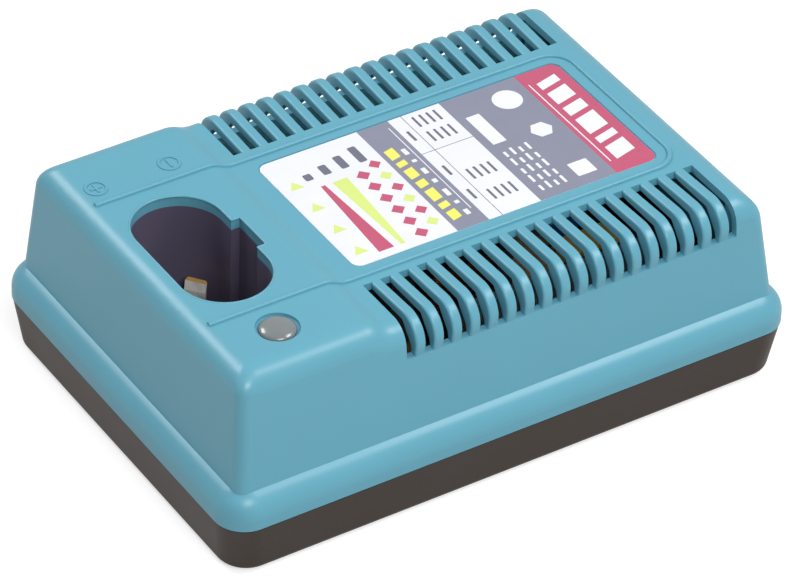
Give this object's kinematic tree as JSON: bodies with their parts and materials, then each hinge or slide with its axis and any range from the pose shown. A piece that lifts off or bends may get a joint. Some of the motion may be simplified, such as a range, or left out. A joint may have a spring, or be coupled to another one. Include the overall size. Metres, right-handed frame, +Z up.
{
  "type": "power tool battery charger",
  "caption": "Bench charger with a deep socket for a stick battery, vented drafted case, dark base tray, lamp and sprung contacts.",
  "frame": {"origin": "on the surface that the feet stand on, at the middle of the case's length and width", "axes": "+X along the case from the socket end to the rear end, +Z up, -Y the side with the lamp"},
  "size_m": [0.19, 0.1316, 0.0654],
  "materials": {
    "case_abs_teal": "moulded ABS, semi-gloss",
    "case_abs_dark": "moulded ABS, spark-eroded texture",
    "sleeve_abs": "moulded ABS",
    "label_film": "printed polyester film",
    "lens_acrylic": "milky acrylic",
    "contact_metal": "nickel-plated brass",
    "block_nylon": "black glass-filled nylon",
    "board_laminate": "phenolic laminate",
    "screw_steel": "zinc-plated",
    "sheet_fibre": "vulcanised fibre",
    "soft_rubber": "moulded",
    "sink_aluminium": "extruded",
    "ferrite": "sintered ferrite",
    "winding_copper": "enamelled copper under tape",
    "fuse_glass": "clear",
    "capacitor_sleeve": "shrink sleeve",
    "filter_box": "epoxy-filled box",
    "varistor_epoxy": "dipped epoxy",
    "semiconductor_epoxy": "moulded epoxy"
  },
  "bodies": {
    "charger": {"board_screws": "screw_steel", "bridge_rectifier": "semiconductor_epoxy", "bulk_capacitor": "capacitor_sleeve", "case_screws": "screw_steel", "circuit_board": "board_laminate", "clamp_screws": "screw_steel", "contact_tails": "contact_metal", "controller_chip": "semiconductor_epoxy", "cord_clamp": "block_nylon", "cord_gland": "soft_rubber", "foot_front_far": "soft_rubber", "foot_front_near": "soft_rubber", "foot_rear_far": "soft_rubber", "foot_rear_near": "soft_rubber", "fuse": "fuse_glass", "fuse_clips": "contact_metal", "heatsink": "sink_aluminium", "heatsink_screws": "screw_steel", "indicator_diode": "lens_acrylic", "insulating_sheet": "sheet_fibre", "label": "label_film", "lamp_lens": "lens_acrylic", "light_guide": "lens_acrylic", "line_choke_bobbin": "block_nylon", "line_choke_core": "ferrite", "line_choke_winding": "winding_copper", "line_filter_capacitor": "filter_box", "lower_case": "case_abs_dark", "output_capacitors": "capacitor_sleeve", "output_rectifier": "semiconductor_epoxy", "socket_sleeve": "sleeve_abs", "switching_transistor": "semiconductor_epoxy", "terminal_block": "block_nylon", "transformer_bobbin": "block_nylon", "transformer_core": "ferrite", "transformer_winding": "winding_copper", "upper_case": "case_abs_teal", "varistor": "varistor_epoxy"},
    "contact_positive": {"contact_positive": "contact_metal"},
    "contact_negative": {"contact_negative": "contact_metal"},
    "contact_sensor": {"contact_sensor": "contact_metal"}
  },
  "joints": [
    {"name": "contact_positive_flex", "type": "hinge", "parent": "charger", "child": "contact_positive", "pos_m": [-0.05819, 0.01659, 0.0208], "axis": [-0.6157, 0.788, 0], "range_deg": [0, 5], "stiffness_Nm_per_rad": 0.05},
    {"name": "contact_negative_flex", "type": "hinge", "parent": "charger", "child": "contact_negative", "pos_m": [-0.05819, -0.01809, 0.0208], "axis": [0.6157, 0.788, 0], "range_deg": [0, 5], "stiffness_Nm_per_rad": 0.05},
    {"name": "contact_sensor_flex", "type": "hinge", "parent": "charger", "child": "contact_sensor", "pos_m": [-0.0759, -0.00075, 0.0208], "axis": [0, -1, 0], "range_deg": [0, 5], "stiffness_Nm_per_rad": 0.05}
  ]
}
